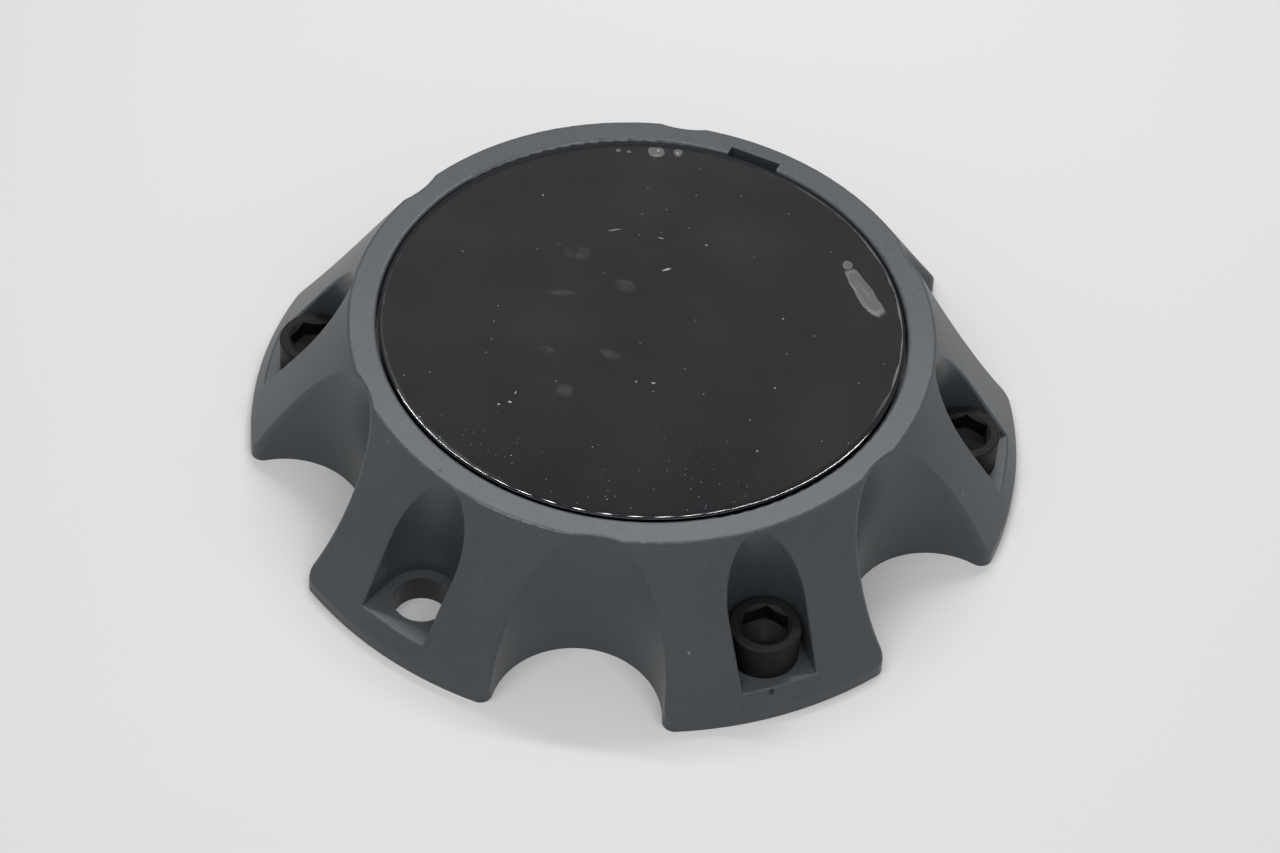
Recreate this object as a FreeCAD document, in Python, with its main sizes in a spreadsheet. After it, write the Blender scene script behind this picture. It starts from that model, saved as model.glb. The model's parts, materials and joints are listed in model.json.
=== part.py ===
import FreeCAD, Part
import math
import os
import Sketcher

# Wheel center cap: a moulded shell with six lug gaps and six bolt pockets, and a badge disc in its top.
# Millimetres, +Z up. The origin is on the axis, in the plane of the base rim.

doc = FreeCAD.newDocument("wheel_center_cap")

# Driving dimensions
SIZES = {
    "lobe_count": 6,
    "lug_circle_dia": 139.7,
    "lug_gap_dia": 30.7,
    "lug_draft_angle": 1.8,
    "rim_past_lugs": 2.65,
    "rim_height": 2.6,
    "cap_height": 29.85,
    "lug_gap_to_ring": 0.4,
    "ring_width": 5.1,
    "ring_edge_round": 0.6,
    "recess_depth": 3.4,
    "wall": 3.0,
    "lobe_corner_round": 2.2,
    "lobe_edge_round": 1.0,
    "bolt_inset": 10.7,
    "pocket_gap": 0.55,
    "pocket_floor": 5.75,
    "pocket_draft_angle": 1.0,
    "pocket_edge_round": 0.5,
    "bolt_hole_dia": 10.3,
    "boss_wall": 3.0,
    "notch_width": 10.2,
    "notch_depth": 1.8,
    "notch_angle": 73.0,
    "badge_gap": 0.45,
    "badge_thickness": 2.5,
    "badge_edge_round": 1.2,
    "tape_thickness": 0.8,
    "tape_inset": 2.0,
    "film_thickness": 0.1,
    "film_inset": 1.2,
    "head_dia": 13.0,
    "head_height": 7.2,
    "head_edge_round": 0.4,
    "hex_flats": 8.0,
    "hex_depth": 3.4,
    "hex_cone_depth": 1.2,
    "hex_mouth_dia": 9.6,
    "hex_mouth_depth": 0.5,
    "shank_gap": 0.1,
    "shank_short": 0.25,
}

# What the pockets hold, counted round from +X; the front left one is empty
POCKETS = ["bolt_right", "bolt_back_right", "bolt_back_left", "bolt_left", None, "bolt_front_right"]

# Turn of each bolt's hex socket, in degrees
HEX_ANGLES = {
    "bolt_right": 2.0,
    "bolt_back_right": 22.0,
    "bolt_back_left": 51.0,
    "bolt_left": 38.0,
    "bolt_front_right": 4.0,
}

sheet = doc.addObject("Spreadsheet::Sheet", "sizes")
for row, (alias, value) in enumerate(SIZES.items(), start=1):
    sheet.set(f"A{row}", alias)
    sheet.set(f"B{row}", str(value))
    sheet.setAlias(f"B{row}", alias)
doc.recompute()

# Heights and radii that several pieces share
BASE_RADIUS = "(sizes.lug_circle_dia / 2 + sizes.rim_past_lugs)"
RING_OUTSIDE = "((sizes.lug_circle_dia - sizes.lug_gap_dia) / 2 - sizes.lug_gap_to_ring)"
RING_INSIDE = f"({RING_OUTSIDE} - sizes.ring_width)"
RECESS_FLOOR = "(sizes.cap_height - sizes.recess_depth)"
BADGE_FOOT = f"({RECESS_FLOOR} + sizes.tape_thickness)"
BADGE_TOP = f"({BADGE_FOOT} + sizes.badge_thickness)"
BADGE_RADIUS = f"({RING_INSIDE} - sizes.badge_gap)"
POCKET_HALF = "(sizes.head_dia / 2 + sizes.pocket_gap)"
BOLT_RADIUS = f"({BASE_RADIUS} - sizes.bolt_inset)"
HEAD_TOP = "(sizes.pocket_floor + sizes.head_height)"
HEX_FLOOR = f"({HEAD_TOP} - sizes.hex_depth)"
SKIRT_SLOPE = f"((sizes.cap_height - sizes.rim_height) / ({BASE_RADIUS} - {RING_OUTSIDE}))"
SKIRT_WALL = f"(sizes.wall * sqrt(1 + {SKIRT_SLOPE} ^ 2) / {SKIRT_SLOPE})"
HOLLOW_RADIUS = f"({BASE_RADIUS} - sizes.wall)"
HOLLOW_TOP = f"({RECESS_FLOOR} - sizes.wall)"
HOLLOW_TOP_RADIUS = f"({RING_OUTSIDE} + (sizes.cap_height - {HOLLOW_TOP}) / {SKIRT_SLOPE} - {SKIRT_WALL})"
HOLLOW_RIM = f"(sizes.rim_height - ({SKIRT_WALL} - sizes.wall) * {SKIRT_SLOPE})"
CUT_HEIGHT = "(sizes.cap_height + sizes.wall)"
CUT_REACH = f"({BASE_RADIUS} + sizes.wall)"
HALF_LOBE = "180 / sizes.lobe_count"


def number(expression):
    """Value of an expression of the sheet."""
    return float(sheet.evalExpression(expression))


# Sketches
def new_body(name):
    body = doc.addObject("PartDesign::Body", name)
    body.Label = name
    return body


def origin_part(body, role):
    return next(item for item in body.Origin.OriginFeatures if item.Role == role)


def new_sketch(body, name, plane="XY_Plane", lift=None, turn=None):
    """Sketch on a plane of its body, lifted off it and turned in it by expressions."""
    sketch = body.newObject("Sketcher::SketchObject", name)
    sketch.AttachmentSupport = [(origin_part(body, plane), "")]
    sketch.MapMode = "FlatFace"
    if turn:
        about_z = FreeCAD.Rotation(FreeCAD.Vector(0, 0, 1), number(turn))
        sketch.AttachmentOffset = FreeCAD.Placement(FreeCAD.Vector(), about_z)
        sketch.setExpression("AttachmentOffset.Rotation.Angle", turn)
    if lift:
        sketch.setExpression("AttachmentOffset.Base.z", lift)
    return sketch


def bind(sketch, constraint, expression):
    index = sketch.addConstraint(constraint)
    sketch.setExpression(f"Constraints[{index}]", expression)


def place_point(sketch, line, across, up):
    """Fix the first point of a line by two expressions; 0 puts it on an axis."""
    if across == "0":
        sketch.addConstraint(Sketcher.Constraint("PointOnObject", line, 1, -2))
    else:
        bind(sketch, Sketcher.Constraint("DistanceX", -1, 1, line, 1, number(across)), across)
    if up == "0":
        sketch.addConstraint(Sketcher.Constraint("PointOnObject", line, 1, -1))
    else:
        bind(sketch, Sketcher.Constraint("DistanceY", -1, 1, line, 1, number(up)), up)


def draw_outline(sketch, corners):
    """Closed straight-sided outline: each corner is a pair of expressions."""
    points = [FreeCAD.Vector(number(across), number(up), 0) for across, up in corners]
    lines = []
    for start, end in zip(points, points[1:] + points[:1]):
        lines.append(sketch.addGeometry(Part.LineSegment(start, end)))
    for line, after in zip(lines, lines[1:] + lines[:1]):
        sketch.addConstraint(Sketcher.Constraint("Coincident", line, 2, after, 1))
    for line, (across, up) in zip(lines, corners):
        place_point(sketch, line, across, up)


def draw_circle(sketch, distance, radius):
    """Circle on the sketch's X axis."""
    centre = FreeCAD.Vector(number(distance), 0, 0)
    sketch.addGeometry(Part.Circle(centre, FreeCAD.Vector(0, 0, 1), number(radius)))
    sketch.addConstraint(Sketcher.Constraint("PointOnObject", 0, 3, -1))
    bind(sketch, Sketcher.Constraint("DistanceX", -1, 1, 0, 3, centre.x), distance)
    bind(sketch, Sketcher.Constraint("Radius", 0, number(radius)), radius)


def draw_slot(sketch, distance, half_width, end):
    """U shape along the X axis: a half circle round its middle and straight sides out to its end."""
    middle, half, stop = number(distance), number(half_width), number(end)
    circle = Part.Circle(FreeCAD.Vector(middle, 0, 0), FreeCAD.Vector(0, 0, 1), half)
    sketch.addGeometry(Part.ArcOfCircle(circle, math.pi / 2, 3 * math.pi / 2))
    corners = [(middle, -half), (stop, -half), (stop, half), (middle, half)]
    for first, second in zip(corners, corners[1:]):
        sketch.addGeometry(Part.LineSegment(FreeCAD.Vector(*first, 0), FreeCAD.Vector(*second, 0)))
    sketch.addConstraint(Sketcher.Constraint("Tangent", 0, 2, 1, 1))
    sketch.addConstraint(Sketcher.Constraint("Coincident", 1, 2, 2, 1))
    sketch.addConstraint(Sketcher.Constraint("Coincident", 2, 2, 3, 1))
    sketch.addConstraint(Sketcher.Constraint("Tangent", 3, 2, 0, 1))
    sketch.addConstraint(Sketcher.Constraint("Horizontal", 1))
    sketch.addConstraint(Sketcher.Constraint("Vertical", 2))
    sketch.addConstraint(Sketcher.Constraint("Horizontal", 3))
    sketch.addConstraint(Sketcher.Constraint("PointOnObject", 0, 3, -1))
    bind(sketch, Sketcher.Constraint("DistanceX", -1, 1, 0, 3, middle), distance)
    bind(sketch, Sketcher.Constraint("Radius", 0, half), half_width)
    bind(sketch, Sketcher.Constraint("DistanceX", -1, 1, 2, 1, stop), end)


def draw_hexagon(sketch, flats):
    """Hexagon round the origin with a corner on the Y axis."""
    corner = number(flats) / math.sqrt(3)
    points = []
    for step in range(6):
        angle = math.radians(90 + 60 * step)
        points.append(FreeCAD.Vector(corner * math.cos(angle), corner * math.sin(angle), 0))
    circle = sketch.addGeometry(Part.Circle(FreeCAD.Vector(), FreeCAD.Vector(0, 0, 1), corner), True)
    sketch.addConstraint(Sketcher.Constraint("Coincident", circle, 3, -1, 1))
    bind(sketch, Sketcher.Constraint("Radius", circle, corner), f"{flats} / sqrt(3)")
    sides = []
    for start, end in zip(points, points[1:] + points[:1]):
        sides.append(sketch.addGeometry(Part.LineSegment(start, end)))
    for side, after in zip(sides, sides[1:] + sides[:1]):
        sketch.addConstraint(Sketcher.Constraint("Coincident", side, 2, after, 1))
        sketch.addConstraint(Sketcher.Constraint("PointOnObject", side, 1, circle))
    for side in sides[1:]:
        sketch.addConstraint(Sketcher.Constraint("Equal", sides[0], side))
    sketch.addConstraint(Sketcher.Constraint("PointOnObject", sides[0], 1, -2))


# Features
def revolve(body, name, corners, kind="PartDesign::Revolution"):
    sketch = new_sketch(body, f"{name}_profile", "XZ_Plane")
    draw_outline(sketch, corners)
    feature = body.newObject(kind, name)
    feature.Profile = sketch
    feature.ReferenceAxis = (sketch, ["V_Axis"])
    feature.Angle = 360.0
    doc.recompute()
    return feature


def cut(body, name, sketch, length, up=True, draft=None):
    """Cut from a sketch, up or down, that widens by its draft."""
    feature = body.newObject("PartDesign::Pocket", name)
    feature.Profile = sketch
    feature.Type = "Length"
    feature.setExpression("Length", length)
    feature.Reversed = up
    if draft:
        feature.setExpression("TaperAngle", draft)
    doc.recompute()
    return feature


def repeat_round_axis(body, feature):
    pattern = body.newObject("PartDesign::PolarPattern", f"{feature.Name}_pattern")
    pattern.Originals = [feature]
    pattern.Axis = (origin_part(body, "Z_Axis"), [""])
    pattern.Angle = 360.0
    pattern.setExpression("Occurrences", "sizes.lobe_count")
    body.Tip = pattern
    doc.recompute()
    return pattern


def round_edges(body, name, edges, radius):
    """Fillet of some edges of the body's last feature."""
    base = body.Tip
    names = [f"Edge{index}" for index, edge in enumerate(base.Shape.Edges, start=1)
             if any(edge.isSame(wanted) for wanted in edges)]
    fillet = body.newObject("PartDesign::Fillet", name)
    fillet.Base = (base, names)
    fillet.setExpression("Radius", radius)
    body.Tip = fillet
    doc.recompute()
    return fillet


# Edges to round, found by what they bound
def near(value, wanted):
    return abs(value - wanted) < 1e-5


def arcs_of_radius(shape, radius, height):
    """Circular edges round the axis, at one radius and height."""
    found = []
    for edge in shape.Edges:
        if isinstance(edge.Curve, Part.Circle) and near(edge.Curve.Radius, radius):
            centre = edge.Curve.Center
            if near(centre.z, height) and near(math.hypot(centre.x, centre.y), 0):
                found.append(edge)
    return found


def faces_at(edge, faces):
    """How many of the faces end in an edge."""
    return sum(any(edge.isSame(other) for other in face.Edges) for face in faces)


def edges_of_draft_cut(shape, draft, low, high):
    """Edges between the heights low and high that one wall of a drafted cut ends in."""
    walls = [face for face in shape.Faces if is_draft_wall(face, draft)]
    found = []
    for wall in walls:
        for edge in wall.Edges:
            middle = edge.CenterOfMass.z
            level = near(middle, low) or near(middle, high)
            shared = faces_at(edge, walls) > 1 or edge.isSeam(wall)
            if low < middle < high and not level and not shared:
                found.append(edge)
    return found


def edges_of_skirt(shape, top):
    """Edges below the top that the sloping sides of the lobes end in."""
    lean = math.atan(1 / number(SKIRT_SLOPE))
    cones = [face for face in shape.Faces if isinstance(face.Surface, Part.Cone)]
    sides = [face for face in cones if near(abs(face.Surface.SemiAngle), lean)]
    found = []
    for side in sides:
        for edge in side.Edges:
            if faces_at(edge, sides) == 1 and not near(edge.CenterOfMass.z, top):
                found.append(edge)
    return found


def edges_of_open_floor(shape, draft, height):
    """Edges of the level faces at one height that no wall of a drafted cut ends in."""
    walls = [face for face in shape.Faces if is_draft_wall(face, draft)]
    found = []
    for face in shape.Faces:
        if isinstance(face.Surface, Part.Plane) and near(face.CenterOfMass.z, height):
            found += [edge for edge in face.Edges if not faces_at(edge, walls)]
    return found


def is_draft_wall(face, draft):
    """True where the middle of a face leans by the draft."""
    first_u, last_u, first_v, last_v = face.ParameterRange
    normal = face.normalAt((first_u + last_u) / 2, (first_v + last_v) / 2)
    return near(abs(normal.z), math.sin(math.radians(draft)))


# Outside of the shell
def shell_outside():
    body = new_body("cap_outside")
    top = number("sizes.cap_height")
    revolve(body, "outside_form", [
        ("0", "0"),
        (BASE_RADIUS, "0"),
        (BASE_RADIUS, "sizes.cap_height"),
        (RING_INSIDE, "sizes.cap_height"),
        (RING_INSIDE, RECESS_FLOOR),
        ("0", RECESS_FLOOR),
    ])
    plan = new_sketch(body, "lug_gap_plan", turn=HALF_LOBE)
    draw_circle(plan, "sizes.lug_circle_dia / 2", "sizes.lug_gap_dia / 2")
    lug_gap = cut(body, "lug_gap", plan, CUT_HEIGHT, draft="sizes.lug_draft_angle")
    form = repeat_round_axis(body, lug_gap).Shape

    corners = edges_of_draft_cut(form, number("sizes.lug_draft_angle"), 0, top)
    round_edges(body, "lobe_corners", corners, "sizes.lobe_corner_round")

    skirt = revolve(body, "skirt", [
        (CUT_REACH, f"sizes.rim_height - sizes.wall * {SKIRT_SLOPE}"),
        (CUT_REACH, CUT_HEIGHT),
        (f"{RING_OUTSIDE} - sizes.wall / {SKIRT_SLOPE}", CUT_HEIGHT),
    ], kind="PartDesign::Groove")
    arrises = edges_of_skirt(skirt.Shape, top)
    form = round_edges(body, "lobe_edges", arrises, "sizes.lobe_edge_round").Shape
    tops = [face for face in form.Faces if near(face.CenterOfMass.z, top)]
    ring_top = max(tops, key=lambda face: face.Area)
    round_edges(body, "ring_edges", ring_top.Edges, "sizes.ring_edge_round")

    plan = new_sketch(body, "bolt_pocket_plan", lift="sizes.pocket_floor")
    draw_slot(plan, BOLT_RADIUS, POCKET_HALF, CUT_REACH)
    pocket = cut(body, "bolt_pocket", plan, CUT_HEIGHT, draft="sizes.pocket_draft_angle")
    form = repeat_round_axis(body, pocket).Shape
    floor, draft = number("sizes.pocket_floor"), number("sizes.pocket_draft_angle")
    rims = edges_of_draft_cut(form, draft, floor, top) + edges_of_open_floor(form, draft, floor)
    round_edges(body, "pocket_edges", rims, "sizes.pocket_edge_round")

    plan = new_sketch(body, "bolt_hole_plan")
    draw_circle(plan, BOLT_RADIUS, "sizes.bolt_hole_dia / 2")
    repeat_round_axis(body, cut(body, "bolt_hole", plan, CUT_HEIGHT))

    plan = new_sketch(body, "pry_notch_plan", lift=RECESS_FLOOR, turn="sizes.notch_angle")
    inner = f"{RING_INSIDE} - sizes.notch_width"
    outer = f"{RING_INSIDE} + sizes.notch_depth"
    half = "sizes.notch_width / 2"
    draw_outline(plan, [(inner, f"-{half}"), (outer, f"-{half}"), (outer, half), (inner, half)])
    cut(body, "pry_notch", plan, CUT_HEIGHT)
    return body


# Room under the shell: it leaves the wall, the pocket walls and a boss round each bolt hole
def shell_hollow():
    body = new_body("cap_hollow")
    revolve(body, "hollow_form", [
        ("0", "-sizes.wall"),
        (HOLLOW_RADIUS, "-sizes.wall"),
        (HOLLOW_RADIUS, HOLLOW_RIM),
        (HOLLOW_TOP_RADIUS, HOLLOW_TOP),
        ("0", HOLLOW_TOP),
    ])
    plan = new_sketch(body, "gap_wall_plan", lift="-sizes.wall", turn=HALF_LOBE)
    draw_circle(plan, "sizes.lug_circle_dia / 2", "sizes.lug_gap_dia / 2 + sizes.wall")
    repeat_round_axis(body, cut(body, "gap_wall", plan, CUT_HEIGHT, draft="sizes.lug_draft_angle"))
    plan = new_sketch(body, "pocket_wall_plan", lift="sizes.pocket_floor - sizes.wall")
    draw_slot(plan, BOLT_RADIUS, f"{POCKET_HALF} + sizes.wall", CUT_REACH)
    repeat_round_axis(body, cut(body, "pocket_wall", plan, CUT_HEIGHT, draft="sizes.pocket_draft_angle"))
    plan = new_sketch(body, "boss_plan", lift="-sizes.wall")
    draw_circle(plan, BOLT_RADIUS, "sizes.bolt_hole_dia / 2 + sizes.boss_wall")
    repeat_round_axis(body, cut(body, "boss", plan, "sizes.pocket_floor + sizes.wall"))
    return body


def cap_body():
    shell = doc.addObject("Part::Cut", "cap_body")
    shell.Label = "cap_body"
    shell.Base = shell_outside()
    shell.Tool = shell_hollow()
    doc.recompute()
    return shell


# Flat discs in the recess, from the floor up
def disc(name, radius, foot, head):
    body = new_body(name)
    revolve(body, f"{name}_form", [("0", foot), (radius, foot), (radius, head), ("0", head)])
    return body


def badge_tape():
    return disc("badge_tape", f"{BADGE_RADIUS} - sizes.tape_inset", RECESS_FLOOR, BADGE_FOOT)


def badge_disc():
    body = disc("badge_disc", BADGE_RADIUS, BADGE_FOOT, BADGE_TOP)
    edge = arcs_of_radius(body.Tip.Shape, number(BADGE_RADIUS), number(BADGE_TOP))
    round_edges(body, "badge_edge", edge, "sizes.badge_edge_round")
    return body


def clear_film():
    film_top = f"{BADGE_TOP} + sizes.film_thickness"
    return disc("clear_film", f"{BADGE_RADIUS} - sizes.film_inset", BADGE_TOP, film_top)


# Socket-head bolt, seated on the floor of its pocket
def bolt(name, lobe, turn):
    body = new_body(name)
    head_radius = number("sizes.head_dia / 2")
    shank_radius = "sizes.bolt_hole_dia / 2 - sizes.shank_gap"
    revolve(body, f"{name}_form", [
        ("0", "sizes.shank_short"),
        (shank_radius, "sizes.shank_short"),
        (shank_radius, "sizes.pocket_floor"),
        ("sizes.head_dia / 2", "sizes.pocket_floor"),
        ("sizes.head_dia / 2", HEAD_TOP),
        ("0", HEAD_TOP),
    ])
    edge = arcs_of_radius(body.Tip.Shape, head_radius, number(HEAD_TOP))
    round_edges(body, f"{name}_edge", edge, "sizes.head_edge_round")
    plan = new_sketch(body, f"{name}_hex_plan", lift=HEAD_TOP)
    draw_hexagon(plan, "sizes.hex_flats")
    cut(body, f"{name}_hex", plan, "sizes.hex_depth", up=False)
    revolve(body, f"{name}_cone", [
        ("0", f"{HEX_FLOOR} - sizes.hex_cone_depth"),
        ("sizes.hex_flats / 2", HEX_FLOOR),
        ("0", HEX_FLOOR),
    ], kind="PartDesign::Groove")
    revolve(body, f"{name}_mouth", [
        ("0", f"{HEAD_TOP} - sizes.hex_mouth_depth"),
        ("sizes.hex_flats / 2", f"{HEAD_TOP} - sizes.hex_mouth_depth"),
        ("sizes.hex_mouth_dia / 2", HEAD_TOP),
        ("0", HEAD_TOP),
    ], kind="PartDesign::Groove")
    body.Placement = FreeCAD.Placement(FreeCAD.Vector(), FreeCAD.Rotation(FreeCAD.Vector(0, 0, 1), turn))
    angle = f"{lobe} * 360 deg / sizes.lobe_count"
    body.setExpression("Placement.Base.x", f"{BOLT_RADIUS} * cos({angle})")
    body.setExpression("Placement.Base.y", f"{BOLT_RADIUS} * sin({angle})")
    doc.recompute()
    return body


pieces = [cap_body(), badge_tape(), badge_disc(), clear_film()]
pieces += [bolt(name, lobe, HEX_ANGLES[name]) for lobe, name in enumerate(POCKETS) if name]
doc.recompute()

# Every object has to be sound before anything is written
failed = [item.Label for item in doc.Objects if {"Invalid", "Error"} & set(item.State)]
failed += [piece.Label for piece in pieces if piece.Shape.isNull() or not piece.Shape.isValid()]
if failed:
    raise SystemExit(f"not built: {failed}")

os.makedirs("parts", exist_ok=True)
for piece in pieces:
    piece.Shape.exportStep(f"parts/{piece.Label}.step")
    print(f"{piece.Label}: {len(piece.Shape.Solids)} solid, {piece.Shape.Volume / 1000:.2f} cm3")
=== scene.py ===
import json
import math

import bmesh
import bpy
from mathutils import Matrix, Vector


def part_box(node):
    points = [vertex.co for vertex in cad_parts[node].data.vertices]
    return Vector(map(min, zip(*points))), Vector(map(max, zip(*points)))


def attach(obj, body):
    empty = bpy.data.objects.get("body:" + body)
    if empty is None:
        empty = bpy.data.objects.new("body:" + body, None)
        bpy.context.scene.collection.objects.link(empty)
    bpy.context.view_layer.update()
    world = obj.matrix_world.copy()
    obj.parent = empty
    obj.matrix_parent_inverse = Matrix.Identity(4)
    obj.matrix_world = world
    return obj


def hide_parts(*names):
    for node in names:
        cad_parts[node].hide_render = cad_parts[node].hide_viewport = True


# Wheel center cap: finishes for its pieces, a finer disc and film, and the light box that it lies in.
# Lengths are in metres and in the frame's axes.
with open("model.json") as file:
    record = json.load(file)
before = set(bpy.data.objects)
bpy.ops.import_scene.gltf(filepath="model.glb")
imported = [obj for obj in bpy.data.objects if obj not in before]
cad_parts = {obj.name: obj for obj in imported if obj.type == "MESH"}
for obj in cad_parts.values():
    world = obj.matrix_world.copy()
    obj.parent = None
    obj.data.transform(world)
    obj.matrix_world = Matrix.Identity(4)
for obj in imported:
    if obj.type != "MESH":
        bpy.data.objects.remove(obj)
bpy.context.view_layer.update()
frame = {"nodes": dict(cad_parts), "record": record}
scene = bpy.context.scene
scene.view_settings.view_transform = "Standard"

# Corners of the two pieces that are made again here
FILM_LOW, FILM_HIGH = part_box("clear_film")
BADGE_LOW, BADGE_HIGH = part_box("badge_disc")


def grey(level):
    return (level, level, level, 1.0)


# Node helpers. A speck or dot is solid up to a share of its size, and fades from there.
SPECK_CORE = 0.5
DOT_CORE = 0.8
SEEN_RAYS = ("Is Camera Ray", "Is Glossy Ray", "Is Transmission Ray")


class Graph:
    """A node tree, with short calls for the nodes used here."""

    def __init__(self, tree, coordinates):
        self.tree = tree
        self.tree.nodes.clear()
        self.place = self.add("ShaderNodeTexCoord").outputs[coordinates]

    def add(self, kind, **settings):
        node = self.tree.nodes.new(kind)
        for name, value in settings.items():
            setattr(node, name, value)
        return node

    def link(self, source, target):
        """Link one socket to another, or set it to a constant."""
        if hasattr(source, "links"):
            self.tree.links.new(source, target)
        else:
            target.default_value = source

    def math(self, operation, first, second=0.0):
        node = self.add("ShaderNodeMath", operation=operation)
        self.link(first, node.inputs[0])
        self.link(second, node.inputs[1])
        return node.outputs[0]

    def times(self, first, second):
        return self.math("MULTIPLY", first, second)

    def any_of(self, masks):
        """The strongest of some masks at each place."""
        total = masks[0]
        for mask in masks[1:]:
            total = self.math("MAXIMUM", total, mask)
        return total

    def range(self, value, low, high, first=0.0, last=1.0):
        """Smooth change from first to last, while a value goes from low to high."""
        node = self.add("ShaderNodeMapRange", interpolation_type="SMOOTHSTEP")
        self.link(value, node.inputs["Value"])
        self.link(low, node.inputs["From Min"])
        self.link(high, node.inputs["From Max"])
        self.link(first, node.inputs["To Min"])
        self.link(last, node.inputs["To Max"])
        return node.outputs["Result"]

    def axis(self, name):
        """The place's X, Y or Z."""
        split = self.add("ShaderNodeSeparateXYZ")
        self.link(self.place, split.inputs["Vector"])
        return split.outputs[name]

    def seen(self):
        """Mask of the rays that show the background: straight, in gloss or through glass."""
        path = self.add("ShaderNodeLightPath").outputs
        return self.any_of([path[kind] for kind in SEEN_RAYS])


class Finish(Graph):
    """One material: a shader and the patterns and marks that feed it."""

    def __init__(self, name):
        self.material = bpy.data.materials.new(name)
        self.material.use_nodes = True
        super().__init__(self.material.node_tree, "Object")
        self.shader = self.add("ShaderNodeBsdfPrincipled")
        self.output = self.add("ShaderNodeOutputMaterial")
        self.link(self.shader.outputs["BSDF"], self.output.inputs["Surface"])

    def feed(self, **sources):
        """Give the shader's sockets a link or a constant each."""
        for name, source in sources.items():
            self.link(source, self.shader.inputs[name.replace("_", " ")])

    def vector(self, operation, first, second):
        node = self.add("ShaderNodeVectorMath", operation=operation)
        self.link(first, node.inputs[0])
        self.link(second, node.inputs[1])
        return node.outputs["Vector"]

    def distance(self, first, second=(0.0, 0.0, 0.0)):
        node = self.add("ShaderNodeVectorMath", operation="DISTANCE")
        self.link(first, node.inputs[0])
        self.link(second, node.inputs[1])
        return node.outputs["Value"]

    def flat(self):
        """The place, moved down to the base plane."""
        return self.vector("MULTIPLY", self.place, (1.0, 1.0, 0.0))

    def noise(self, size, detail=2.0, roughness=0.5, output="Fac"):
        """Noise whose features are about a size across."""
        node = self.add("ShaderNodeTexNoise")
        node.inputs["Scale"].default_value = 1 / size
        node.inputs["Detail"].default_value = detail
        node.inputs["Roughness"].default_value = roughness
        self.link(self.place, node.inputs["Vector"])
        return node.outputs[output]

    def cells(self, size, dimensions="3D"):
        """Voronoi cells of about a size across."""
        node = self.add("ShaderNodeTexVoronoi", voronoi_dimensions=dimensions)
        node.inputs["Scale"].default_value = 1 / size
        self.link(self.place, node.inputs["Vector"])
        return node.outputs

    def mix(self, share, first, second):
        """First colour, with a share of the second."""
        node = self.add("ShaderNodeMix", data_type="RGBA")
        self.link(share, node.inputs["Factor"])
        for socket, colour in ((node.inputs[6], first), (node.inputs[7], second)):
            self.link(colour, socket)
        return node.outputs[2]

    def bump(self, height, distance, under=None):
        node = self.add("ShaderNodeBump")
        node.inputs["Strength"].default_value = 1.0
        node.inputs["Distance"].default_value = distance
        self.link(height, node.inputs["Height"])
        if under:
            self.link(under, node.inputs["Normal"])
        return node.outputs["Normal"]

    def specks(self, spacing, size, share, dimensions="3D"):
        """Mask of scattered specks of one size, in a share of the cells of a spacing."""
        cells = self.cells(spacing, dimensions)
        core, reach = SPECK_CORE * size / spacing, size / spacing
        near = self.range(cells["Distance"], core, reach, 1.0, 0.0)
        pick = self.add("ShaderNodeSeparateColor")
        self.link(cells["Color"], pick.inputs["Color"])
        return self.times(near, self.math("LESS_THAN", pick.outputs["Red"], share))

    def spot(self, place, centre, half, angle, blunt=False, *, soft, ring=False):
        """Mask of an oval or blunt patch on the top, or of its rim alone; soft is its edge's share."""
        shift = self.vector("SUBTRACT", place, (*centre, 0.0))
        turn = self.add("ShaderNodeVectorRotate", rotation_type="Z_AXIS")
        turn.inputs["Angle"].default_value = -math.radians(angle)
        self.link(shift, turn.inputs["Vector"])
        flat = self.vector("MULTIPLY", turn.outputs["Vector"], (1 / half[0], 1 / half[1], 0.0))
        if blunt:
            square = self.vector("MULTIPLY", flat, flat)
            reach = self.math("POWER", self.distance(square), 0.5)
        else:
            reach = self.distance(flat)
        inside = self.range(reach, 1 - soft, 1 + soft, 1.0, 0.0)
        if ring:
            return self.times(inside, self.range(reach, 1 - 2 * soft, 1 - soft))
        return inside

    def dot(self, centre, size):
        """Mask of a small ball round a place on the surface."""
        return self.range(self.distance(self.place, centre), DOT_CORE * size, size, 1.0, 0.0)


# Satin paint of the moulded shell: its tones, and the sizes and depths of its patterns
PAINT_TONES = ((0.045, 0.053, 0.060, 1.0), (0.050, 0.059, 0.067, 1.0))
PAINT_CLOUD = 0.018
PAINT_GRAIN, GRAIN_DEPTH = 0.00045, 0.000012
PAINT_PEEL, PEEL_DEPTH = 0.0016, 0.00002
FLAKE_TONE, FLAKE_SHARE = (0.084, 0.097, 0.108, 1.0), 0.35
PAINT_ROUGHNESS = (0.34, 0.41)

# Marks that the photograph shows on the paint, with their centres and half sizes, and scattered specks
PALE_MARKS = {
    "right_side": ((0.0627, -0.0166, 0.0139), 0.00022),
    "left_edge": ((-0.0402, -0.0375, 0.0285), 0.00022),
    "front_side": ((0.0185, -0.0627, 0.0131), 0.00030),
}
DARK_MARKS = {
    "pocket_lip": ((0.0337, -0.0622, 0.0052), 0.00060),
    "ring_edge": ((-0.0296, -0.0437, 0.0298), 0.00040),
}
PALE_TONE, PALE_SHARE = grey(0.42), 0.35
DARK_TONE, DARK_SHARE = grey(0.004), 0.95
PAINT_SPECKS = {"spacing": 0.010, "size": 0.00016, "share": 0.12}

# Painted shade on the walls of the bolt holes, near black: their circle, and the reach round each hole
HOLE_CIRCLE = 0.0618
HOLE_RADIUS = 0.0054
HOLE_HEIGHT = 0.0056
HOLE_COUNT = 6
HOLE_SHADE_TONE = grey(0.010)


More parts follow.
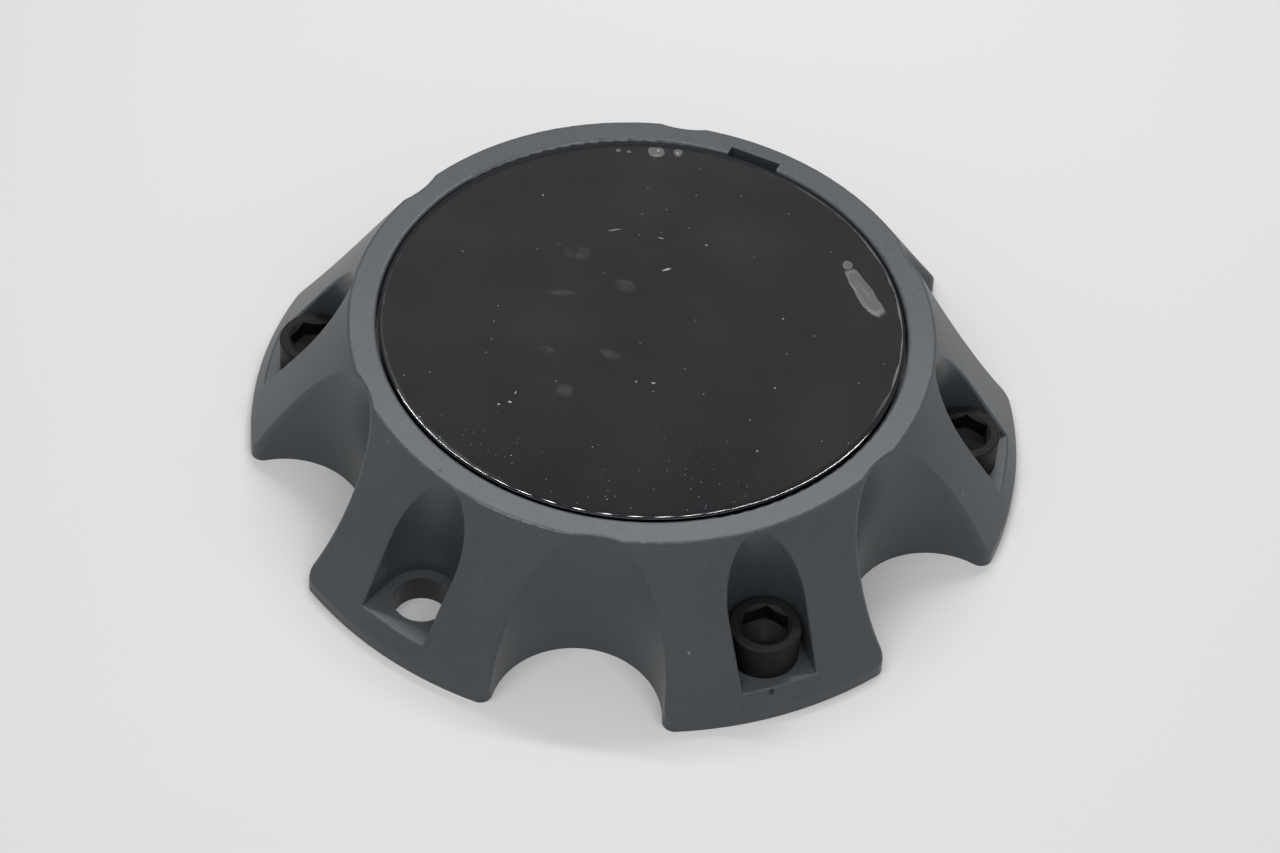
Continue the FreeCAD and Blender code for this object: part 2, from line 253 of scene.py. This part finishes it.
def shaded_hole_walls(nodes):
    """Mask of the walls of the bolt holes, where shade is painted."""
    flat, near = nodes.flat(), []
    for count in range(HOLE_COUNT):
        turn = 2 * math.pi * count / HOLE_COUNT
        centre = (HOLE_CIRCLE * math.cos(turn), HOLE_CIRCLE * math.sin(turn), 0.0)
        near.append(nodes.math("LESS_THAN", nodes.distance(flat, centre), HOLE_RADIUS))
    return nodes.times(nodes.any_of(near), nodes.math("LESS_THAN", nodes.axis("Z"), HOLE_HEIGHT))


def cap_paint():
    nodes = Finish("cap_paint")
    cloud = nodes.noise(PAINT_CLOUD, detail=3.0)
    grain = nodes.noise(PAINT_GRAIN)
    peel = nodes.noise(PAINT_PEEL, detail=1.0)
    tone = nodes.mix(nodes.range(cloud, 0.3, 0.7), *PAINT_TONES)
    tone = nodes.mix(nodes.range(grain, 0.45, 0.75, 0.0, FLAKE_SHARE), tone, FLAKE_TONE)
    pale = [nodes.dot(*mark) for mark in PALE_MARKS.values()] + [nodes.specks(**PAINT_SPECKS)]
    dark = [nodes.dot(*mark) for mark in DARK_MARKS.values()]
    tone = nodes.mix(nodes.times(nodes.any_of(pale), PALE_SHARE), tone, PALE_TONE)
    tone = nodes.mix(nodes.times(nodes.any_of(dark), DARK_SHARE), tone, DARK_TONE)
    nodes.feed(
        # The walls of the bolt holes get painted shade, near black
        Base_Color=nodes.mix(shaded_hole_walls(nodes), tone, HOLE_SHADE_TONE),
        Roughness=nodes.range(grain, 0.25, 0.75, *PAINT_ROUGHNESS),
        Normal=nodes.bump(grain, GRAIN_DEPTH, under=nodes.bump(peel, PEEL_DEPTH)),
        Specular_IOR_Level=0.5,
    )
    return nodes.material


# Glossy black disc, with faint smears
BADGE_TONES = ((0.0003, 0.0010, 0.0035, 1.0), (0.0012, 0.0020, 0.0045, 1.0))
BADGE_SMEAR = 0.012
BADGE_ROUGHNESS = (0.02, 0.05)


def badge_black():
    nodes = Finish("badge_black")
    smear = nodes.noise(BADGE_SMEAR, detail=4.0, roughness=0.6)
    nodes.feed(
        Base_Color=nodes.mix(nodes.range(smear, 0.35, 0.7), *BADGE_TONES),
        Roughness=nodes.range(smear, 0.3, 0.75, *BADGE_ROUGHNESS),
        Specular_IOR_Level=0.40,
    )
    return nodes.material


# Marks in the clear film. Each has its centre on the film, its half sizes and the turn of its long side
# in degrees; a bubble also says whether it is blunt.
BUBBLES = {
    "long": ((0.03947, 0.01568), (0.00630, 0.00140), -56.0, True),
    "long_low": ((0.04030, 0.01335), (0.00420, 0.00125), -55.0, False),
    "round": ((0.0355, 0.0222), (0.00092, 0.00107), 0.0, False),
    "back_left": ((-0.0041, 0.0458), (0.00153, 0.00143), 0.0, False),
    "back_right": ((0.0001, 0.0463), (0.00084, 0.00113), 0.0, False),
    "back_small": ((-0.0113, 0.0447), (0.00045, 0.00040), 0.0, False),
    "back_least": ((-0.0094, 0.0447), (0.00042, 0.00036), 0.0, False),
}
SMUDGES = {
    "back_left": ((-0.0147, 0.0154), (0.0026, 0.0019), 10.0),
    "back_arc": ((-0.0183, 0.0171), (0.0017, 0.0005), 40.0),
    "middle": ((-0.0047, 0.0083), (0.0022, 0.0018), -20.0),
    "left": ((-0.0162, 0.0044), (0.0028, 0.0009), 10.0),
    "front": ((-0.0044, -0.0094), (0.0022, 0.0014), -20.0),
    "front_left": ((-0.0163, -0.0107), (0.0016, 0.0009), 0.0),
    "front_least": ((-0.0112, -0.0198), (0.0015, 0.0020), 20.0),
}
# Fibres and specks in the film, and two painted highlights on the back bubbles
FIBRES_AND_HIGHLIGHTS = {
    "back": ((-0.0087, 0.0228), (0.00120, 0.00010), 28.0),
    "back_right": ((0.0001, 0.0224), (0.00060, 0.00009), -8.0),
    "middle": ((0.0025, 0.0142), (0.00075, 0.00026), 35.0),
    "front_left": ((-0.0199, -0.0225), (0.00045, 0.00010), 70.0),
    "speck_left": ((-0.0205, -0.0248), (0.00030, 0.00022), 0.0),
    "speck_far_left": ((-0.0224, -0.0258), (0.00026, 0.00018), 0.0),
    "speck_front": ((0.0043, -0.0152), (0.00030, 0.00018), 0.0),
    "speck_right": ((0.0088, 0.0220), (0.00024, 0.00018), 0.0),
    "highlight_back_left": ((-0.0037, 0.0460), (0.00030, 0.00030), 0.0),
    "highlight_back_right": ((0.0000, 0.0460), (0.00028, 0.00028), 0.0),
}
RIDGE_HALF = (0.0058, 0.0005)

# Dust on the film: the spacing and size of its specks and the share of places that have one.
# The fine dust lies at the front, and is gone at the second of its two places along Y.
FINE_DUST = (0.0016, 0.00011, 0.16)
FINE_DUST_FADE = (-0.042, -0.012)
DUST = ((0.0045, 0.00016, 0.14), (0.012, 0.00026, 0.18))

# Sizes of the patterns in the film: how its marks' outlines wander and how far, the grain of its smudges,
# the waves of its edge line, the clouds of its veil and tone, and its ripples with their depth
WANDER_SIZE, WANDER_REACH = 0.004, 0.0011
SMUDGE_GRAIN = 0.0022
EDGE_WAVE = 0.004
VEIL_CLOUD = 0.02
FILM_CLOUD = 0.002
FILM_RIPPLE, RIPPLE_DEPTH = 0.003, 0.00002

# The film is a little oval: its mean radius, how far it is out of round, the turn of its long side and
# the width of its edge line
FILM_REACH = 0.04765
FILM_OVAL = 0.0005
FILM_OVAL_TURN = math.radians(25.0)
FILM_EDGE = 0.0005

# How much white the film shows: painted reflection in its bubbles, painted highlights on their rims, on
# the long bubble's ridge and among its fibres, the white of its fibres, dust and smudges, painted
# reflection along its lifted edge from left to right, and its veil everywhere.
# The veil is thinner at the front, up to VEIL_FULL along Y.
BUBBLE_REFLECTION_WHITE, RIM_HIGHLIGHT_WHITE, RIDGE_HIGHLIGHT_WHITE = 0.135, 0.19, 0.17
FIBRE_AND_HIGHLIGHT_WHITE, DUST_WHITE = 0.40, 0.30
SMUDGE_WHITE = (0.014, 0.045)
EDGE_REFLECTION_WHITE = (0.05, 0.17)
VEIL_WHITE = (0.010, 0.020)
VEIL_FRONT, VEIL_FULL = 0.35, -0.01
FILM_TONES = (grey(0.80), grey(0.92))


def film_marks_and_highlights(nodes):
    """White of the film: painted reflection in the bubbles, painted highlights on their rims, ridge and
    the back ones, and the white of its smudges, fibres and dust.
    """
    off = nodes.vector("SUBTRACT", nodes.noise(WANDER_SIZE, output="Color"), (0.5, 0.5, 0.5))
    off = nodes.vector("MULTIPLY", off, (WANDER_REACH, WANDER_REACH, 0.0))
    bent = nodes.vector("ADD", nodes.place, off)
    bubbles = nodes.any_of([nodes.spot(bent, *bubble, soft=0.05) for bubble in BUBBLES.values()])
    rim_highlights = [nodes.spot(bent, *bubble, soft=0.12, ring=True) for bubble in BUBBLES.values()]
    centre, _, angle, _ = BUBBLES["long"]
    ridge_highlight = nodes.times(nodes.spot(bent, centre, RIDGE_HALF, angle, soft=0.8), bubbles)
    smudges = nodes.any_of([nodes.spot(bent, *smudge, soft=0.5) for smudge in SMUDGES.values()])
    haze = nodes.range(nodes.noise(SMUDGE_GRAIN, detail=3.0), 0.3, 0.75, *SMUDGE_WHITE)
    fibres_and_highlights = nodes.any_of([nodes.spot(bent, *fibre, soft=0.4) for fibre in FIBRES_AND_HIGHLIGHTS.values()])
    front = nodes.range(nodes.axis("Y"), *FINE_DUST_FADE, 1.0, 0.0)
    dust = [nodes.times(nodes.specks(*FINE_DUST, "2D"), front)]
    dust += [nodes.specks(*row, "2D") for row in DUST]
    return [
        nodes.times(bubbles, BUBBLE_REFLECTION_WHITE),
        nodes.times(nodes.any_of(rim_highlights), RIM_HIGHLIGHT_WHITE),
        nodes.times(ridge_highlight, RIDGE_HIGHLIGHT_WHITE),
        nodes.times(smudges, haze),
        nodes.times(fibres_and_highlights, FIBRE_AND_HIGHLIGHT_WHITE),
        nodes.times(nodes.any_of(dust), DUST_WHITE),
    ]


def film_edge_reflection(nodes):
    """Painted reflection at the film's edge, where it has lifted along the long sides of its oval."""
    angle = nodes.math("ARCTAN2", nodes.axis("Y"), nodes.axis("X"))
    double = nodes.times(nodes.math("SUBTRACT", angle, FILM_OVAL_TURN), 2.0)
    oval = nodes.math("COSINE", double)
    limit = nodes.math("ADD", FILM_REACH, nodes.times(oval, FILM_OVAL))
    wavy = nodes.range(nodes.noise(EDGE_WAVE, detail=3.0), 0.3, 0.7, 0.2, 1.0)
    start = nodes.math("SUBTRACT", limit, nodes.times(wavy, FILM_EDGE))
    white = nodes.range(nodes.axis("X"), -FILM_REACH, FILM_REACH, *EDGE_REFLECTION_WHITE)
    lifted = nodes.times(nodes.range(oval, -0.2, 0.6), white)
    return nodes.times(nodes.math("GREATER_THAN", nodes.distance(nodes.flat()), start), lifted)


def film_veil(nodes):
    """White of the film itself, in faint clouds."""
    veil = nodes.range(nodes.noise(VEIL_CLOUD, detail=3.0), 0.3, 0.8, *VEIL_WHITE)
    return nodes.times(veil, nodes.range(nodes.axis("Y"), -FILM_REACH, VEIL_FULL, VEIL_FRONT, 1.0))


def film_clear():
    nodes = Finish("film_clear")
    nodes.feed(
        # The film's white holds painted reflection and painted highlights beside its smudges, fibres,
        # dust and veil
        Alpha=nodes.any_of(film_marks_and_highlights(nodes) + [film_edge_reflection(nodes), film_veil(nodes)]),
        Base_Color=nodes.mix(nodes.noise(FILM_CLOUD), *FILM_TONES),
        Normal=nodes.bump(nodes.noise(FILM_RIPPLE), RIPPLE_DEPTH),
        Roughness=0.18,
    )
    return nodes.material


# Matte black plastic of the bolts, with a little dust
BOLT_TONES = (grey(0.004), grey(0.006))
BOLT_CLOUD = 0.004
BOLT_GRAIN, BOLT_GRAIN_DEPTH = 0.0004, 0.00003
BOLT_ROUGHNESS = (0.50, 0.66)
BOLT_DUST, BOLT_DUST_TONE = {"spacing": 0.004, "size": 0.00014, "share": 0.15}, grey(0.16)


def bolt_black():
    nodes = Finish("bolt_black")
    grain = nodes.noise(BOLT_GRAIN, detail=3.0)
    tone = nodes.mix(nodes.range(nodes.noise(BOLT_CLOUD), 0.35, 0.65), *BOLT_TONES)
    nodes.feed(
        Base_Color=nodes.mix(nodes.specks(**BOLT_DUST), tone, BOLT_DUST_TONE),
        Roughness=nodes.range(grain, 0.3, 0.7, *BOLT_ROUGHNESS),
        Normal=nodes.bump(grain, BOLT_GRAIN_DEPTH),
        Specular_IOR_Level=0.2,
    )
    return nodes.material


# Foam tape under the disc
FOAM_CELL, FOAM_DEPTH = 0.0006, 0.0001
FOAM_TONES = (grey(0.05), grey(0.02))


def tape_foam():
    nodes = Finish("tape_foam")
    pores = nodes.cells(FOAM_CELL)["Distance"]
    nodes.feed(
        Base_Color=nodes.mix(pores, *FOAM_TONES),
        Normal=nodes.bump(pores, FOAM_DEPTH),
        Roughness=0.9,
    )
    return nodes.material


FINISHES = {
    "cap_paint": cap_paint(),
    "badge_black": badge_black(),
    "tape_foam": tape_foam(),
    "film_clear": film_clear(),
    "bolt_black": bolt_black(),
}
for part in frame["record"]["subparts"]:
    node = frame["nodes"][part["node"]]
    node.data.materials.clear()
    node.data.materials.append(FINISHES[part["material_slot"]])


# Round pieces, as rings about the axis
ROUND_STEPS = 360


def turned(name, profile, node, slot, place, end=None):
    """Piece that stands for a node: place gives a point for a step of the profile and a turn.

    The profile starts on the axis, and end, where it is given, closes the piece on the axis again.
    """
    mesh = bmesh.new()
    middle = mesh.verts.new(place(profile[0], 0.0))
    turns = [2 * math.pi * count / ROUND_STEPS for count in range(ROUND_STEPS)]
    rings = [[mesh.verts.new(place(step, turn)) for turn in turns] for step in profile[1:]]
    for count in range(ROUND_STEPS):
        after = (count + 1) % ROUND_STEPS
        mesh.faces.new((middle, rings[0][count], rings[0][after]))
        for inner, outer in zip(rings, rings[1:]):
            mesh.faces.new((inner[count], outer[count], outer[after], inner[after]))
    if end:
        foot = mesh.verts.new(place(end, 0.0))
        for count in range(ROUND_STEPS):
            after = (count + 1) % ROUND_STEPS
            mesh.faces.new((rings[-1][after], rings[-1][count], foot))
    for face in mesh.faces:
        face.smooth = True
    data = bpy.data.meshes.new(name)
    mesh.to_mesh(data)
    mesh.free()
    piece = bpy.data.objects.new(name, data)
    piece.data.materials.append(FINISHES[slot])
    scene.collection.objects.link(piece)
    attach(piece, "root")
    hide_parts(node)


# The disc, with an edge that shows the lamps: a wide arc and a small one, each as a radius and two tilts.
# Rings at shares of its flat top and beside its creases keep the shading flat there.
EDGE_ARCS = ((0.0032, 0.0, math.radians(9.0)), (0.00020, math.radians(9.0), math.radians(90.0)))
EDGE_STEPS = 16
EDGE_WIDE = sum(size * (math.sin(last) - math.sin(first)) for size, first, last in EDGE_ARCS)
BADGE_FLAT = BADGE_HIGH.x - EDGE_WIDE
FLAT_RINGS = (0.5, 0.98)
CREASE = 0.00001


def make_badge():
    top, low, outside = BADGE_HIGH.z, BADGE_LOW.z, BADGE_HIGH.x
    profile = [(0.0, top)] + [(share * BADGE_FLAT, top) for share in FLAT_RINGS]
    profile += [(BADGE_FLAT - CREASE, top), (BADGE_FLAT, top)]
    for size, first, last in EDGE_ARCS:
        radius, height = profile[-1]
        for step in range(1, EDGE_STEPS + 1):
            tilt = first + (last - first) * step / EDGE_STEPS
            across = size * (math.sin(tilt) - math.sin(first))
            down = size * (math.cos(first) - math.cos(tilt))
            profile.append((radius + across, height - down))
    profile += [(outside, low + CREASE), (outside, low), (outside - CREASE, low)]

    def place(step, turn):
        radius, height = step
        return radius * math.cos(turn), radius * math.sin(turn), height

    turned("badge_gloss", profile, "badge_disc", "badge_black", place, end=(0.0, low))


# The film as one sheet on the disc: it swells over its bubbles, fully over those of a half width, and its
# edge turns down onto the disc by a share of its thickness
FILM_RINGS = 150
BUBBLE_RISE = 0.00018
FULL_RISE_HALF = 0.0015
EDGE_TURN = 0.0004
EDGE_SINK = 0.9


def swell(x, y):
    """Height of the film over its bubbles at one place."""
    rise = 0.0
    for (across, along), (half_long, half_wide), angle, blunt in BUBBLES.values():
        turn = math.radians(angle)
        first = (x - across) * math.cos(turn) + (y - along) * math.sin(turn)
        second = (y - along) * math.cos(turn) - (x - across) * math.sin(turn)
        power = 4 if blunt else 2
        left = 1 - (first / half_long) ** power - (second / half_wide) ** power
        if left > 0:
            rise = max(rise, BUBBLE_RISE * min(1.0, half_wide / FULL_RISE_HALF) * math.sqrt(left))
    return rise


def make_film():
    thickness = FILM_HIGH.z - FILM_LOW.z
    arc = EDGE_ARCS[0][0]

    def place(share, turn):
        reach = FILM_REACH + FILM_OVAL * math.cos(2 * (turn - FILM_OVAL_TURN))
        radius = share * reach
        x, y = radius * math.cos(turn), radius * math.sin(turn)
        past_flat = max(0.0, radius - BADGE_FLAT)
        drop = arc - math.sqrt(arc ** 2 - past_flat ** 2)
        free = min(1.0, (reach - radius) / EDGE_TURN)
        drop += thickness * EDGE_SINK * (1 - free) ** 2
        return x, y, FILM_HIGH.z - drop + swell(x, y) * free

    shares = [ring / FILM_RINGS for ring in range(FILM_RINGS + 1)]
    turned("film_sheet", shares, "clear_film", "film_clear", place)


# Plain pale floor, which fades into the backdrop's grey between two distances from the part.
# It sends less light up to the part than the camera sees of it.
FLOOR_HALF = 2.5
FLOOR_CLOUD = 0.12
FLOOR_TONES = (grey(0.725), grey(0.745))
FLOOR_BOUNCE = grey(0.50)
BACKDROP = grey(0.60)
FADE_START = 0.3
FADE_END = 0.9


def floor_pale():
    nodes = Finish("floor_pale")
    seen = nodes.seen()
    tone = nodes.mix(nodes.noise(FLOOR_CLOUD), *FLOOR_TONES)
    nodes.feed(Base_Color=nodes.mix(seen, FLOOR_BOUNCE, tone), Roughness=0.7)
    glow = nodes.add("ShaderNodeEmission")
    nodes.link(BACKDROP, glow.inputs["Color"])
    far = nodes.range(nodes.distance(nodes.place), FADE_START, FADE_END)
    blend = nodes.add("ShaderNodeMixShader")
    nodes.link(nodes.times(seen, far), blend.inputs["Fac"])
    nodes.link(nodes.shader.outputs["BSDF"], blend.inputs[1])
    nodes.link(glow.outputs["Emission"], blend.inputs[2])
    nodes.link(blend.outputs["Shader"], nodes.output.inputs["Surface"])
    return nodes.material


def make_floor():
    half = FLOOR_HALF
    corners = [(-half, -half, 0), (half, -half, 0), (half, half, 0), (-half, half, 0)]
    mesh = bpy.data.meshes.new("floor")
    mesh.from_pydata(corners, [], [(0, 1, 2, 3)])
    floor = bpy.data.objects.new("floor", mesh)
    floor.data.materials.append(floor_pale())
    scene.collection.objects.link(floor)


# Two rows of lamps under the top of the light box. Each row has its place along Y, the spacing and width
# of its lamps, how many stand each side of the middle one, and the power of each.
LAMP_HEIGHT = 0.45
LAMP_LENGTH = 0.03
LAMP_ROWS = {
    "back": (0.28, 0.012, 0.0032, 16, 0.037),
    "front": (-0.12, 0.040, 0.0400, 5, 0.094),
}


def make_lights():
    for row, (along, spacing, width, each_side, power) in LAMP_ROWS.items():
        for step in range(-each_side, each_side + 1):
            light = bpy.data.lights.new(f"lamp_{row}", "AREA")
            light.shape = "RECTANGLE"
            light.size = width
            light.size_y = LAMP_LENGTH
            light.energy = power
            lamp = bpy.data.objects.new(f"lamp_{row}", light)
            lamp.location = (step * spacing, along, LAMP_HEIGHT)
            scene.collection.objects.link(lamp)


# Light from the box itself: a bright front, dimmer walls and a darker top. Each change runs between two
# values of a direction's Y, from the front, or Z, towards the top.
WALL_LIGHT = 0.38
FRONT_LIGHT = 0.90
CEILING_LIGHT = 0.34
FRONT_FADE = (-0.85, 0.1)
CEILING_FADE = (0.70, 0.86)


def make_world():
    world = bpy.data.worlds.new("light_box")
    world.use_nodes = True
    nodes = Graph(world.node_tree, "Generated")
    walls = nodes.range(nodes.axis("Y"), *FRONT_FADE, FRONT_LIGHT, WALL_LIGHT)
    level = nodes.range(nodes.axis("Z"), *CEILING_FADE, walls, CEILING_LIGHT)
    inside = nodes.add("ShaderNodeBackground")
    beyond = nodes.add("ShaderNodeBackground")
    pick = nodes.add("ShaderNodeMixShader")
    output = nodes.add("ShaderNodeOutputWorld")
    nodes.link(level, inside.inputs["Strength"])
    nodes.link(BACKDROP, beyond.inputs["Color"])
    nodes.link(nodes.seen(), pick.inputs["Fac"])
    nodes.link(inside.outputs["Background"], pick.inputs[1])
    nodes.link(beyond.outputs["Background"], pick.inputs[2])
    nodes.link(pick.outputs["Shader"], output.inputs["Surface"])
    scene.world = world


# Camera solved from the photograph: its place, its right and up directions, and its lens and sensor in mm
CAMERA_PLACE = Vector((0.04522, -0.46968, 0.50848))
CAMERA_RIGHT = Vector((0.98759, 0.14844, 0.05135))
CAMERA_UP = Vector((-0.14350, 0.71973, 0.67926))
CAMERA_LENS = 102.65
SENSOR_WIDTH = 36.0
CLIP_START = 0.01


def make_camera():
    data = bpy.data.cameras.new("camera")
    data.sensor_fit = "HORIZONTAL"
    data.sensor_width = SENSOR_WIDTH
    data.lens = CAMERA_LENS
    data.clip_start = CLIP_START
    camera = bpy.data.objects.new("camera", data)
    right = CAMERA_RIGHT.normalized()
    up = (CAMERA_UP - CAMERA_UP.dot(right) * right).normalized()
    turn = Matrix((right, up, right.cross(up))).transposed()
    camera.matrix_world = Matrix.Translation(CAMERA_PLACE) @ turn.to_4x4()
    scene.collection.objects.link(camera)
    scene.camera = camera


make_badge()
make_film()
make_floor()
make_lights()
make_world()
make_camera()
